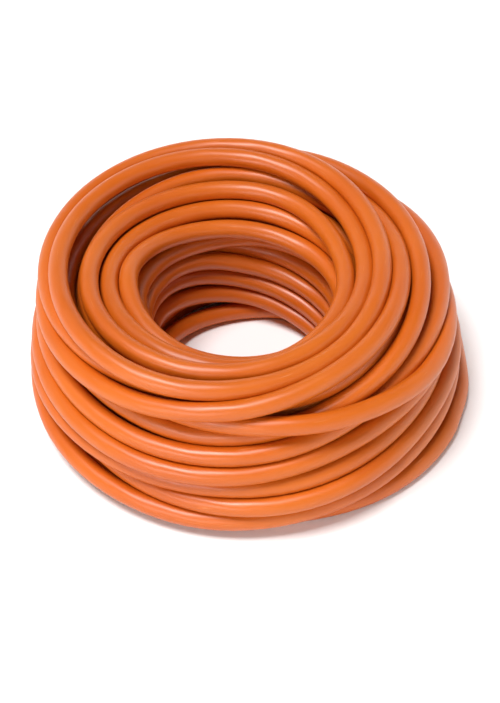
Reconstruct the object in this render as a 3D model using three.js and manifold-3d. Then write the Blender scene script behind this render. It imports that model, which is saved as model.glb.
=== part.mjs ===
// Three-core extension cord, stored as a tight machine-wound coil with its plug and its
// connector brought together behind it. Millimetres, +Z up. The coil lies on the floor with
// its axis upright; the model's origin is the middle of its footprint, on the floor.
import * as THREE from "three";
import { mergeVertices } from "three/addons/utils/BufferGeometryUtils.js";
import Module from "manifold-3d";

const wasm = await Module();
wasm.setup();

// ---------------------------------------------------------------- driving dimensions

// Cable
const CABLE_D = 9.5; // over the sheath, three 2.1 mm2 cores
const CORE_D = 3.2; // one insulated core
const CLEARANCE = 0.3; // between pieces that touch

// Section of the coil, along the middle of its outermost turns
const BORE_R = 47; // inner wall
const THROAT_R = 62; // where the inner wall opens into the top
const CREST_IN_R = 75; // inner edge of the top
const CREST_OUT_R = 87; // outer edge of the top
const SHOULDER_R = 95; // top of the outer wall
const FOOT_R = 107; // outer wall at the floor
const CREST_Z = 77.5;
const CREST_FALL = 1.5; // drop of the top's outer edge below the crest
const SHOULDER_Z = 65;
const THROAT_Z = 67;
const BORE_Z = 46; // top of the straight part of the inner wall
const BORE_LEAN = 1; // how far that top leans outwards
const CORNER_R = 11; // how round the winding goes from wall to floor

// Winding
const STEPS_PER_TURN = 24;
const WINDING_SIDES = 6;
const START_ANGLE = 8; // degrees round the coil where the winding begins, outer wall
const END_ANGLE = 172; // where it ends, at the foot of the outer wall
const TURN_ROOM = 1; // between neighbouring turns where the section runs straight
const LEAST_GAP = 0.4; // what must be left where it bends
const FLOOR_FLAT = CABLE_D / 10; // depth of the flat that the lowest turns rest on

// Plug and connector, moulded on: face at x = 0, cable leaves towards -X
const END_WIDTH = 33; // along the line from blades to earth pin
const END_HEIGHT = 25; // across the blades
const PLUG_LENGTH = 42;
const CONNECTOR_LENGTH = 46;
const RIM_DEPTH = 6.5; // full-size rim round the face
const GRIP_START = 11; // behind the face
const GRIP_RIBS = 4;
const NECK_LENGTH = 14; // from the grip to the strain relief
const NECK_SLIM = 5.2; // how much slimmer its waist is than the face, each side
const WALL = 3; // overmould round the inner pieces
const CABLE_GRIP = 7; // sheath held inside the overmould
const RELIEF_LENGTH = 28;
const RELIEF_BIG_D = 17;
const RELIEF_SMALL_D = 12.4;
const RELIEF_RIBS = 5;
const RIB_GAP = 2.2;
const RIB_DEPTH = 1.2;

// Blade pattern, the common 15 A three-pin form
const BLADE_PITCH = 12.7;
const BLADE_WIDTH = 6.35;
const BLADE_THICK = 1.52;
const BLADE_REACH = 17.5; // out of the face
const BLADE_HOLE_D = 3.2;
const BLADE_HOLE_INSET = 5.2; // from the tip
const PIN_D = 4.75;
const PIN_REACH = 20.6;
const PIN_OFFSET = 11.9; // from the line of the blades
const BLADE_Y = -5.5;
const PIN_Y = BLADE_Y + PIN_OFFSET;
const BARREL_D = 4.2; // crimp barrels at the back of the contacts
const BARREL_LENGTH = 6;

// Blade carrier in the plug, contact housing in the connector
const CARRIER_DEPTH = 9;
const SHANK_DEPTH = 13; // how far the contacts' shanks reach behind the face
const HOUSING_DEPTH = 22;
const HOUSING_FRONT = 2.6; // wall that the slots go through
const SLOT_THICK = 2.2;
const LINE_SLOT = 7.2;
const NEUTRAL_SLOT = 8.6;
const PIN_HOLE_D = 5.7;
const CONTACT_LEAF = 0.7;
const CONTACT_GAP = 1.3; // between the leaves, a little under a blade
const CONTACT_LENGTH = 13;
const CONTACT_END = 1.2; // solid back that joins the leaves, and the flare at their mouth
const CONTACT_BARREL_D = 3.6;
const SLEEVE_WALL = 0.7; // earth contact, a slit sleeve
const SLIT = 1;

// Where the two ends lie: degrees round the coil, and how far beyond its foot
const END_LIFT = END_HEIGHT / 2;
const STRAIGHT_RUN = 7; // cable in line with the strain relief before it bends away
const PLUG_FACE = [84.7, 29.6];
const PLUG_HEADING = 155; // degrees, the way the blades point
const CONNECTOR_FACE = [98.8, 31.7];
const CONNECTOR_HEADING = 33;

// Hand-chosen routes from the coil to the strain reliefs: degrees round the coil, how far
// beyond its foot, and height
const PLUG_ROUTE = [
  [19.7, 3, 13.2], [24.5, 6.5, 10], [28.9, 10.9, 7], [33.3, 16, 5.4],
  [37.7, 20.6, 5.4], [43.6, 24.2, 7.4], [49, 25.1, 10.6],
];
const CONNECTOR_ROUTE = [
  [160.2, 2.1, 8.7], [155.4, 5.8, 6.8], [151, 10.5, 5.5], [147.5, 14.8, 5.1],
  [143.9, 18.5, 5.3], [140.1, 20.8, 6.8], [135.7, 21.4, 9.8],
];

// ---------------------------------------------------------------- materials

const sheath = new THREE.MeshStandardMaterial({ color: "#e2722f", roughness: 0.45, metalness: 0 });
const rubber = new THREE.MeshStandardMaterial({ color: "#1d1e20", roughness: 0.6, metalness: 0 });
const nylon = new THREE.MeshStandardMaterial({ color: "#3a3b3d", roughness: 0.5, metalness: 0 });
const brass = new THREE.MeshStandardMaterial({ color: "#c8a860", roughness: 0.3, metalness: 1 });
const lineCore = new THREE.MeshStandardMaterial({ color: "#17181a", roughness: 0.5, metalness: 0 });
const neutralCore = new THREE.MeshStandardMaterial({ color: "#e9e7e0", roughness: 0.5, metalness: 0 });
const earthCore = new THREE.MeshStandardMaterial({ color: "#2c7a44", roughness: 0.5, metalness: 0 });

// ---------------------------------------------------------------- solids and meshes

const radians = THREE.MathUtils.degToRad;

function solidFrom(geometry) {
  const bare = geometry.clone();
  bare.deleteAttribute("normal");
  bare.deleteAttribute("uv");
  const merged = mergeVertices(bare, 1e-4);
  return new wasm.Manifold(
    new wasm.Mesh({
      numProp: 3,
      vertProperties: merged.attributes.position.array,
      triVerts: new Uint32Array(merged.index.array),
    }),
  );
}

function geometryFrom(solid) {
  const mesh = solid.getMesh();
  const geometry = new THREE.BufferGeometry();
  geometry.setAttribute("position", new THREE.BufferAttribute(mesh.vertProperties, 3));
  geometry.setIndex(new THREE.BufferAttribute(mesh.triVerts, 1));
  geometry.computeVertexNormals();
  return geometry;
}

function piece(name, geometry, material) {
  const mesh = new THREE.Mesh(geometry, material);
  mesh.name = name;
  return mesh;
}

// Box with one corner range per axis: [from, to] in x, y and z.
function box([x0, x1], [y0, y1], [z0, z1]) {
  const geometry = new THREE.BoxGeometry(x1 - x0, y1 - y0, z1 - z0);
  return solidFrom(geometry.translate((x0 + x1) / 2, (y0 + y1) / 2, (z0 + z1) / 2));
}

// Revolved profile of [x, radius] pairs about a line along X.
function turned(profile, sides, y = 0, z = 0) {
  const points = profile.map(([x, radius]) => new THREE.Vector2(radius, x));
  const geometry = new THREE.LatheGeometry(points, sides);
  return solidFrom(geometry.rotateZ(-Math.PI / 2).translate(0, y, z));
}

function rod(x0, x1, diameter, y = 0, z = 0, sides = 20) {
  return turned([[x0, 0], [x0, diameter / 2], [x1, diameter / 2], [x1, 0]], sides, y, z);
}

// Closed skin through rings of points that all have the same count, capped at both ends.
function skin(rings) {
  const count = rings[0].length;
  const positions = [];
  const triangles = [];
  for (const ring of rings) {
    for (const point of ring) positions.push(point.x, point.y, point.z);
  }
  for (let r = 0; r + 1 < rings.length; r += 1) {
    for (let k = 0; k < count; k += 1) {
      const a = r * count + k;
      const b = r * count + ((k + 1) % count);
      triangles.push(a, b, b + count, a, b + count, a + count);
    }
  }
  const last = (rings.length - 1) * count;
  for (let k = 1; k + 1 < count; k += 1) {
    triangles.push(0, k + 1, k);
    triangles.push(last, last + k, last + k + 1);
  }
  const geometry = new THREE.BufferGeometry();
  geometry.setAttribute("position", new THREE.Float32BufferAttribute(positions, 3));
  geometry.setIndex(triangles);
  geometry.computeVertexNormals();
  return geometry;
}

// Loft along X through rounded sections: [x, half width in Y, half height in Z, squareness].
function loft(sections, sides = 28) {
  const rings = sections.map(([x, halfWidth, halfHeight, squareness]) => {
    const ring = [];
    for (let k = 0; k < sides; k += 1) {
      const angle = (2 * Math.PI * (k + 0.5)) / sides;
      const c = Math.cos(angle);
      const s = Math.sin(angle);
      const y = halfWidth * Math.sign(c) * Math.abs(c) ** (2 / squareness);
      const z = halfHeight * Math.sign(s) * Math.abs(s) ** (2 / squareness);
      ring.push(new THREE.Vector3(x, y, z));
    }
    return ring;
  });
  return solidFrom(skin(rings));
}

// Round tube along a smooth curve through hand-chosen points.
function tube(points, diameter, sides, stepLength) {
  const curve = new THREE.CatmullRomCurve3(points, false, "centripetal");
  const section = new THREE.Shape();
  for (let k = 0; k < sides; k += 1) {
    const angle = (2 * Math.PI * k) / sides;
    const x = (diameter / 2) * Math.cos(angle);
    const y = (diameter / 2) * Math.sin(angle);
    if (k === 0) section.moveTo(x, y);
    else section.lineTo(x, y);
  }
  section.closePath();
  const steps = Math.ceil(curve.getLength() / stepLength);
  return new THREE.ExtrudeGeometry(section, { steps, extrudePath: curve, curveSegments: 1 });
}

// ---------------------------------------------------------------- coil

// The coil's section in the half plane (radius, height): flat on the floor, a leaning outer
// wall, a rounded top that falls into the throat, and a nearly upright inner wall.
function coilSection() {
  const floor = CABLE_D / 2 - FLOOR_FLAT;
  const foot = floor + CORNER_R;
  const path = new THREE.Path();
  path.moveTo(FOOT_R, foot);
  path.splineThru([
    new THREE.Vector2((FOOT_R + SHOULDER_R) / 2, (foot + SHOULDER_Z) / 2),
    new THREE.Vector2(SHOULDER_R, SHOULDER_Z),
    new THREE.Vector2(CREST_OUT_R, CREST_Z - CREST_FALL),
    new THREE.Vector2(CREST_IN_R, CREST_Z),
    new THREE.Vector2(THROAT_R, THROAT_Z),
    new THREE.Vector2(BORE_R + BORE_LEAN, BORE_Z),
    new THREE.Vector2(BORE_R, (foot + BORE_Z) / 2),
    new THREE.Vector2(BORE_R, foot),
  ]);
  path.absarc(BORE_R + CORNER_R, foot, CORNER_R, Math.PI, 1.5 * Math.PI);
  path.lineTo(FOOT_R - CORNER_R, floor);
  path.absarc(FOOT_R - CORNER_R, foot, CORNER_R, 1.5 * Math.PI, 2 * Math.PI);
  return path;
}

const section = coilSection();
const sectionLength = section.getLength();
const ROWS = Math.floor(sectionLength / (CABLE_D + TURN_ROOM)); // turns side by side round it
const TURN_PITCH = sectionLength / ROWS;
const TURNS = ROWS - (END_ANGLE - START_ANGLE) / 360;

// Point of the winding's middle line after some turns, which run clockwise from above.
function windingPoint(turns) {
  const angle = radians(START_ANGLE) - 2 * Math.PI * turns;
  const at = section.getPoint((turns * TURN_PITCH) / sectionLength);
  return new THREE.Vector3(at.x * Math.cos(angle), at.x * Math.sin(angle), at.y);
}

function windingLine() {
  const steps = Math.round(TURNS * STEPS_PER_TURN);
  const line = [];
  for (let i = 0; i <= steps; i += 1) line.push(windingPoint((i * TURNS) / steps));
  return line;
}

const winding = windingLine();

// Where the winding stops and which way it points there, for its straight ends.
function windingEnd(atStart) {
  const tip = atStart ? winding[0] : winding[winding.length - 1];
  const way = new THREE.Vector3(tip.y, -tip.x, 0).normalize();
  if (atStart) way.negate();
  return { tip, way, out: tip.clone().addScaledVector(way, CABLE_D) };
}

function leastTurnGap() {
  let least = Infinity;
  for (let i = 0; i < winding.length; i += 1) {
    for (let j = i + STEPS_PER_TURN / 2; j < winding.length; j += 1) {
      least = Math.min(least, winding[i].distanceTo(winding[j]));
    }
  }
  return least - CABLE_D;
}

function windingSolid() {
  const line = [windingEnd(true).out, ...winding, windingEnd(false).out];
  const rings = line.map((point, i) => {
    const before = line[Math.max(i - 1, 0)];
    const after = line[Math.min(i + 1, line.length - 1)];
    const way = after.clone().sub(before).normalize();
    const side = new THREE.Vector3(-way.y, way.x, 0).normalize();
    const up = new THREE.Vector3().crossVectors(way, side);
    const ring = [];
    for (let k = 0; k < WINDING_SIDES; k += 1) {
      const angle = (2 * Math.PI * k) / WINDING_SIDES;
      const across = (CABLE_D / 2) * Math.cos(angle);
      const high = (CABLE_D / 2) * Math.sin(angle);
      ring.push(point.clone().addScaledVector(side, across).addScaledVector(up, high));
    }
    return ring;
  });
  const tall = CREST_Z;
  const below = box([-2 * FOOT_R, 2 * FOOT_R], [-2 * FOOT_R, 2 * FOOT_R], [-tall, 0]);
  return solidFrom(skin(rings)).subtract(below);
}

// The turns inside the outer layer, as one plain ring of the same section.
function coilCore() {
  const inset = CABLE_D / 2 + CLEARANCE;
  const count = 22;
  const profile = [];
  for (let k = 0; k < count; k += 1) {
    const at = section.getPoint(k / count);
    const way = section.getTangent(k / count);
    profile.push(new THREE.Vector2(at.x - way.y * inset, at.y + way.x * inset));
  }
  profile.push(profile[0].clone());
  const ring = new THREE.LatheGeometry(profile, STEPS_PER_TURN);
  return ring.rotateX(Math.PI / 2).rotateZ(radians(START_ANGLE));
}

function coil() {
  const group = new THREE.Group();
  group.add(piece("coil_winding", geometryFrom(windingSolid()), sheath));
  group.add(piece("coil_core", coilCore(), sheath));
  return group;
}

// ---------------------------------------------------------------- free stretches of cable

// Point at some degrees round the coil, a distance beyond its foot.
function beyondFoot(degrees, beyond, height) {
  const angle = radians(degrees);
  const radius = FOOT_R + beyond;
  return new THREE.Vector3(radius * Math.cos(angle), radius * Math.sin(angle), height);
}

// Point a given distance behind an end's face, on its axis.
function behindFace([degrees, beyond], heading, distance) {
  const angle = radians(heading);
  const ahead = new THREE.Vector3(Math.cos(angle), Math.sin(angle), 0);
  return beyondFoot(degrees, beyond, END_LIFT).addScaledVector(ahead, -distance);
}

// From the winding's straight end, along the route, into the end's strain relief.
function tail(name, fromStart, route, face, heading, bodyLength) {
  const { out, way } = windingEnd(fromStart);
  const leaving = out.clone().addScaledVector(way, CLEARANCE);
  const points = [leaving, leaving.clone().addScaledVector(way, 2)];
  for (const stop of route) points.push(beyondFoot(...stop));
  const reliefEnd = bodyLength + RELIEF_LENGTH;
  const sheathEnd = bodyLength - CABLE_GRIP;
  for (const distance of [reliefEnd + STRAIGHT_RUN, reliefEnd, bodyLength + STRAIGHT_RUN, sheathEnd]) {
    points.push(behindFace(face, heading, distance));
  }
  return piece(name, tube(points, CABLE_D, 10, 1.6 * CABLE_D), sheath);
}

// ---------------------------------------------------------------- pieces of both ends

// Moulded body: a flanged face, a waist to hold and a tail that meets the strain relief.
function endBody(length) {
  const w = END_WIDTH / 2;
  const h = END_HEIGHT / 2;
  const sections = [
    [0, w - 0.8, h - 0.8, 3.4],
    [-0.8, w, h, 3.4],
    [-RIM_DEPTH, w, h, 3.4],
    [-(RIM_DEPTH + GRIP_START) / 2, w - 1.6, h - 1.2, 3.2],
  ];
  const ribStep = (GRIP_START + NECK_LENGTH - length) / GRIP_RIBS;
  for (let k = 0; k < GRIP_RIBS; k += 1) {
    const x = -GRIP_START + k * ribStep;
    const slim = 2.6 + 0.5 * k;
    sections.push([x, w - slim, h - 1.6 - 0.2 * k, 3]);
    sections.push([x + ribStep * 0.35, w - slim + 0.9, h - 1.4 - 0.2 * k, 3]);
    sections.push([x + ribStep * 0.65, w - slim + 0.7, h - 1.5 - 0.2 * k, 3]);
  }
  sections.push([-length + 0.7 * NECK_LENGTH, w - NECK_SLIM, h - NECK_SLIM / 2, 2.6]);
  sections.push([-length + 0.2 * NECK_LENGTH, RELIEF_BIG_D / 2 + 1.2, RELIEF_BIG_D / 2 + 0.4, 2.2]);
  sections.push([-length, RELIEF_BIG_D / 2, RELIEF_BIG_D / 2, 2]);
  return loft(sections.reverse());
}

// Outline of the inner block that the overmould grips, as a loft of two equal sections.
function innerBlock(front, back, shrink) {
  const w = END_WIDTH / 2 - WALL - shrink;
  const h = END_HEIGHT / 2 - WALL - shrink;
  return loft([[-back, w, h, 3.4], [-front, w, h, 3.4]]);
}

// Room inside the overmould: the block's seat, the fan-out of the cores and the cable's bore.
function overmould(length, seatDepth, barrelBack) {
  const neck = length - CABLE_GRIP;
  const seat = innerBlock(-1, seatDepth + CLEARANCE, 0);
  const roomY = END_WIDTH / 2 - WALL - 2.2;
  const roomZ = BLADE_PITCH / 2 + BARREL_D / 2 + 2 * CLEARANCE;
  const fan = loft([
    [-neck, CABLE_D / 2 + CLEARANCE, CABLE_D / 2 + CLEARANCE, 2],
    [-barrelBack - 1, roomY, roomZ, 3],
    [-seatDepth, roomY, roomZ, 3],
  ]);
  const bore = rod(-length - 1, -neck + 1, CABLE_D + 2 * CLEARANCE, 0, 0, 24);
  return endBody(length).subtract(seat.add(fan)).subtract(bore);
}

// Tapered sleeve with open ribs, so that it bends instead of kinking the cable.
function strainRelief(length) {
  const back = -length - RELIEF_LENGTH;
  const front = -length - CLEARANCE;
  const radius = (x) => {
    const share = (x - back) / (front - back);
    return THREE.MathUtils.lerp(RELIEF_SMALL_D, RELIEF_BIG_D, share) / 2;
  };
  const step = (RELIEF_LENGTH - 6) / RELIEF_RIBS;
  const outline = [[back, radius(back) - 0.6], [back + 0.6, radius(back)]];
  for (let k = 0; k < RELIEF_RIBS; k += 1) {
    const x = back + 2.6 + k * step;
    outline.push([x, radius(x)], [x + 0.2, radius(x) - RIB_DEPTH]);
    const end = x + RIB_GAP;
    outline.push([end, radius(end) - RIB_DEPTH], [end + 0.2, radius(end)]);
  }
  outline.push([front, radius(front)]);
  const bore = CABLE_D / 2 + CLEARANCE;
  return turned([[back, bore], ...outline, [front, bore], [back, bore]], 24);
}

// Three insulated cores that fan out from the sheath's end to the contacts' barrels.
function cores(prefix, length, barrelBack, materials) {
  const from = -(length - CABLE_GRIP) + CLEARANCE;
  const to = -barrelBack - CLEARANCE;
  const lay = CABLE_D / 2 - CORE_D / 2 - 1;
  const goals = [
    ["line", BLADE_Y, BLADE_PITCH / 2, -0.5, 0.87],
    ["neutral", BLADE_Y, -BLADE_PITCH / 2, -0.5, -0.87],
    ["earth", PIN_Y, 0, 1, 0],
  ];
  return goals.map(([name, y, z, startY, startZ], i) => {
    const points = [
      new THREE.Vector3(from, startY * lay, startZ * lay),
      new THREE.Vector3(from + 1.5, startY * lay, startZ * lay),
      new THREE.Vector3(to - 1.5, y, z),
      new THREE.Vector3(to, y, z),
    ];
    return piece(`${prefix}_${name}_core`, tube(points, CORE_D, 8, CORE_D), materials[i]);
  });
}

// ---------------------------------------------------------------- plug

function blade(z) {
  const tip = BLADE_REACH;
  const half = BLADE_WIDTH / 2;
  const outline = new THREE.Shape();
  outline.moveTo(-SHANK_DEPTH, -half);
  outline.lineTo(tip - 2, -half);
  outline.quadraticCurveTo(tip, -half + 0.4, tip, -half + 2.2);
  outline.lineTo(tip, half - 2.2);
  outline.quadraticCurveTo(tip, half - 0.4, tip - 2, half);
  outline.lineTo(-SHANK_DEPTH, half);
  outline.closePath();
  const hole = new THREE.Path();
  hole.absarc(tip - BLADE_HOLE_INSET, 0, BLADE_HOLE_D / 2, 0, 2 * Math.PI);
  outline.holes.push(hole);
  const strip = new THREE.ExtrudeGeometry(outline, {
    depth: BLADE_THICK,
    bevelEnabled: false,
    curveSegments: 5,
  });
  const flat = solidFrom(strip.translate(0, BLADE_Y, z - BLADE_THICK / 2));
  return flat.add(rod(-SHANK_DEPTH - BARREL_LENGTH, -SHANK_DEPTH + 1, BARREL_D, BLADE_Y, z));
}

function earthPin() {
  const r = PIN_D / 2;
  const profile = [
    [-SHANK_DEPTH - BARREL_LENGTH, 0],
    [-SHANK_DEPTH - BARREL_LENGTH, BARREL_D / 2],
    [-SHANK_DEPTH, BARREL_D / 2],
    [-SHANK_DEPTH, r],
    [PIN_REACH - 1.8, r],
    [PIN_REACH - 0.6, r * 0.75],
    [PIN_REACH, r * 0.3],
    [PIN_REACH, 0],
  ];
  return turned(profile, 20, PIN_Y, 0);
}

// Hard block that holds the three contacts at their pitch; its front is the plug's face.
function bladeCarrier() {
  const gap = CLEARANCE;
  const halfSlot = BLADE_WIDTH / 2 + gap;
  let block = innerBlock(0.2, CARRIER_DEPTH, CLEARANCE);
  for (const z of [BLADE_PITCH / 2, -BLADE_PITCH / 2]) {
    const room = BLADE_THICK / 2 + gap;
    const across = [BLADE_Y - halfSlot, BLADE_Y + halfSlot];
    block = block.subtract(box([-CARRIER_DEPTH - 1, 1], across, [z - room, z + room]));
  }
  return block.subtract(rod(-CARRIER_DEPTH - 1, 1, PIN_D + 2 * gap, PIN_Y, 0, 24));
}

function plug() {
  const group = new THREE.Group();
  const barrelBack = SHANK_DEPTH + BARREL_LENGTH;
  const body = overmould(PLUG_LENGTH, CARRIER_DEPTH, barrelBack);
  group.add(piece("plug_overmould", geometryFrom(body), rubber));
  group.add(piece("plug_strain_relief", geometryFrom(strainRelief(PLUG_LENGTH)), rubber));
  group.add(piece("plug_blade_carrier", geometryFrom(bladeCarrier()), nylon));
  group.add(piece("plug_line_blade", geometryFrom(blade(BLADE_PITCH / 2)), brass));
  group.add(piece("plug_neutral_blade", geometryFrom(blade(-BLADE_PITCH / 2)), brass));
  group.add(piece("plug_earth_pin", geometryFrom(earthPin()), brass));
  group.add(...cores("plug", PLUG_LENGTH, barrelBack, [lineCore, neutralCore, earthCore]));
  group.position.copy(beyondFoot(...PLUG_FACE, END_LIFT));
  group.rotation.z = radians(PLUG_HEADING);
  return group;
}

// ---------------------------------------------------------------- connector

// Housing with a slot or hole in its front wall and a pocket behind each for the contact.
function contactHousing() {
  const front = 0.2;
  let block = innerBlock(front, HOUSING_DEPTH, CLEARANCE);
  const inside = -front - HOUSING_FRONT;
  const slots = [
    [BLADE_PITCH / 2, LINE_SLOT],
    [-BLADE_PITCH / 2, NEUTRAL_SLOT],
  ];
  const pocketY = BLADE_WIDTH / 2 + 0.9;
  const pocketZ = CONTACT_GAP / 2 + CONTACT_LEAF + 0.5;
  for (const [z, width] of slots) {
    const across = [BLADE_Y - width / 2, BLADE_Y + width / 2];
    const slot = box([inside - 1, 1], across, [z - SLOT_THICK / 2, z + SLOT_THICK / 2]);
    const pocket = box(
      [-HOUSING_DEPTH - 1, inside],
      [BLADE_Y - pocketY, BLADE_Y + pocketY],
      [z - pocketZ, z + pocketZ],
    );
    block = block.subtract(slot).subtract(pocket);
  }
  const sleeveRoom = PIN_D + 2 * SLEEVE_WALL + 3 * CLEARANCE;
  block = block.subtract(rod(inside - 1, 1, PIN_HOLE_D, PIN_Y, 0, 24));
  return block.subtract(rod(-HOUSING_DEPTH - 1, inside, sleeveRoom, PIN_Y, 0, 24));
}

const CONTACT_FRONT = -(0.2 + HOUSING_FRONT + 0.5);
const CONTACT_BACK = CONTACT_FRONT - CONTACT_LENGTH;

function contactBarrel(y, z) {
  return rod(-HOUSING_DEPTH - BARREL_LENGTH / 2, CONTACT_BACK + CONTACT_END / 2, CONTACT_BARREL_D, y, z);
}

// Two spring leaves joined at the back, with a barrel for the core.
function bladeContact(z) {
  const half = BLADE_WIDTH / 2 + 0.4;
  const outer = CONTACT_GAP / 2 + CONTACT_LEAF;
  const clip = box(
    [CONTACT_BACK, CONTACT_FRONT],
    [BLADE_Y - half, BLADE_Y + half],
    [z - outer, z + outer],
  );
  const wide = [BLADE_Y - half - 1, BLADE_Y + half + 1];
  const between = [z - CONTACT_GAP / 2, z + CONTACT_GAP / 2];
  const room = box([CONTACT_BACK + CONTACT_END, CONTACT_FRONT + 1], wide, between);
  const flare = [z - SLOT_THICK / 2, z + SLOT_THICK / 2];
  const mouth = box([CONTACT_FRONT - CONTACT_END, CONTACT_FRONT + 1], wide, flare);
  return clip.subtract(room).subtract(mouth).add(contactBarrel(BLADE_Y, z));
}

// Slit sleeve that grips the earth pin.
function earthContact() {
  const inner = PIN_D / 2;
  const outer = inner + SLEEVE_WALL;
  const profile = [
    [CONTACT_BACK, 0],
    [CONTACT_BACK, outer],
    [CONTACT_FRONT, outer],
    [CONTACT_FRONT, inner],
    [CONTACT_BACK + CONTACT_END, inner],
    [CONTACT_BACK + CONTACT_END, 0],
  ];
  const sleeve = turned(profile, 24, PIN_Y, 0);
  const slit = box(
    [CONTACT_BACK + 2 * CONTACT_END, CONTACT_FRONT + 1],
    [PIN_Y - SLIT / 2, PIN_Y + SLIT / 2],
    [-outer - 1, outer + 1],
  );
  return sleeve.subtract(slit).add(contactBarrel(PIN_Y, 0));
}

function connector() {
  const group = new THREE.Group();
  const barrelBack = HOUSING_DEPTH + BARREL_LENGTH / 2;
  const body = overmould(CONNECTOR_LENGTH, HOUSING_DEPTH, barrelBack);
  group.add(piece("connector_overmould", geometryFrom(body), rubber));
  group.add(piece("connector_strain_relief", geometryFrom(strainRelief(CONNECTOR_LENGTH)), rubber));
  group.add(piece("connector_contact_housing", geometryFrom(contactHousing()), nylon));
  group.add(piece("connector_line_contact", geometryFrom(bladeContact(BLADE_PITCH / 2)), brass));
  group.add(piece("connector_neutral_contact", geometryFrom(bladeContact(-BLADE_PITCH / 2)), brass));
  group.add(piece("connector_earth_contact", geometryFrom(earthContact()), brass));
  group.add(...cores("connector", CONNECTOR_LENGTH, barrelBack, [lineCore, neutralCore, earthCore]));
  group.position.copy(beyondFoot(...CONNECTOR_FACE, END_LIFT));
  group.rotation.z = radians(CONNECTOR_HEADING);
  return group;
}

// ---------------------------------------------------------------- assembly

const cord = new THREE.Group();
cord.add(coil());
cord.add(tail("plug_tail", true, PLUG_ROUTE, PLUG_FACE, PLUG_HEADING, PLUG_LENGTH));
cord.add(
  tail("connector_tail", false, CONNECTOR_ROUTE, CONNECTOR_FACE, CONNECTOR_HEADING, CONNECTOR_LENGTH),
);
cord.add(plug());
cord.add(connector());

console.log(`least gap between turns ${leastTurnGap().toFixed(2)} mm, wanted over ${LEAST_GAP} mm`);

// The footprint's middle becomes the origin.
const footprint = new THREE.Box3().setFromObject(cord, true);
const middle = footprint.getCenter(new THREE.Vector3());
cord.position.set(-middle.x, -middle.y, 0);

const extensionCord = new THREE.Group();
extensionCord.add(cord);
export default extensionCord;
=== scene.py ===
# Orange outdoor extension cord in its storage coil: one cable, wound into a tight ring, with
# a moulded plug and connector behind it. Metres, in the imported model's frame.
import math

import bmesh
import bpy
import numpy as np
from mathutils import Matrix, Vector


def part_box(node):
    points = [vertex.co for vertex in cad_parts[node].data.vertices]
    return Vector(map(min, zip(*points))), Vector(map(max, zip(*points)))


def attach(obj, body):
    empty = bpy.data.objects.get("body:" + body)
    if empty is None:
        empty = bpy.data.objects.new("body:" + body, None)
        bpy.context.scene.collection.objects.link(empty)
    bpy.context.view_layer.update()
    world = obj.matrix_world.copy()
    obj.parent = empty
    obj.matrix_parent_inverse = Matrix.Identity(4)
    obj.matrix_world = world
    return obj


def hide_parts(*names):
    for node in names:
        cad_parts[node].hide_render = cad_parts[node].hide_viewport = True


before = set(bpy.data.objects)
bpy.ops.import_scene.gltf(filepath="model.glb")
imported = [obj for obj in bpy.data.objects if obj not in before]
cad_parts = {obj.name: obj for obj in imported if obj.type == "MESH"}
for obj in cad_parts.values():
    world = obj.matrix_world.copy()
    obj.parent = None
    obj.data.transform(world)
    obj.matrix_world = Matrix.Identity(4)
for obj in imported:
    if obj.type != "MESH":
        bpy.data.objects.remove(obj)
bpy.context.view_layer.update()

# ---------------------------------------------------------------- sizes

MM = 0.001
CABLE_D = 9.5 * MM  # over the sheath; the coil's own sizes are counted in these
FOOT_R = 107 * MM  # foot of the coil's outer wall

# Moulded ends
END_WIDTH, END_HEIGHT = 33 * MM, 25 * MM  # along the line from blades to earth pin, and across it
END_LIFT = END_HEIGHT / 2  # their axis above the floor
PLUG_FACE, PLUG_HEADING, PLUG_LENGTH = (84.7, 29.6 * MM), 155, 42 * MM
CONNECTOR_FACE, CONNECTOR_HEADING, CONNECTOR_LENGTH = (98.8, 31.7 * MM), 33, 46 * MM
RIM_DEPTH, GRIP_START, GRIP_RIBS = 6.5 * MM, 11 * MM, 4
NECK_LENGTH, NECK_SLIM, WALL = 14 * MM, 5.2 * MM, 3 * MM
CLEARANCE = 0.3 * MM
RELIEF_LENGTH, RELIEF_BIG_D, RELIEF_SMALL_D = 28 * MM, 17 * MM, 12.4 * MM
RELIEF_RIBS, RIB_GAP, RIB_DEPTH = 5, 2.2 * MM, 1.2 * MM
CABLE_GRIP = 7 * MM  # sheath held inside the moulding
STRAIGHT_RUN = 7 * MM  # cable in line with the strain relief before it bends away

# Contacts and cores
BLADE_PITCH, BLADE_WIDTH, BLADE_THICK = 12.7 * MM, 6.35 * MM, 1.52 * MM
BLADE_REACH, BLADE_Y, BLADE_HOLE_D, BLADE_HOLE_INSET = 17.5 * MM, -5.5 * MM, 3.2 * MM, 5.2 * MM
PIN_D, PIN_REACH, PIN_Y = 4.75 * MM, 20.6 * MM, 6.4 * MM
BARREL_D, BARREL_LENGTH, SHANK_DEPTH = 4.2 * MM, 6 * MM, 13 * MM
CARRIER_DEPTH, HOUSING_DEPTH = 9 * MM, 22 * MM
CORES, CORE_D, CORE_LAY = 3, 3.2 * MM, 75 * MM  # lay: cable's length for one twist of its cores

# Routes from the coil to the strain reliefs: degrees round it, metres beyond its foot, height
PLUG_ROUTE = [
    (28.9, 0.0109, 0.007), (33.3, 0.016, 0.0054), (37.7, 0.0206, 0.0054),
    (43.6, 0.0242, 0.0074), (49, 0.0251, 0.0106),
]
CONNECTOR_ROUTE = [
    (155.4, 0.0058, 0.0068), (151, 0.0105, 0.0055), (147.5, 0.0148, 0.0051),
    (143.9, 0.0185, 0.0053), (140.1, 0.0208, 0.0068), (135.7, 0.0214, 0.0098),
]

core_low, core_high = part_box("coil_core")
AXIS = (core_low + core_high) / 2
AXIS.z = 0


def add_object(name, data):
    made = bpy.data.objects.new(name, data)
    bpy.context.scene.collection.objects.link(made)
    return made


# ---------------------------------------------------------------- camera

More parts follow.
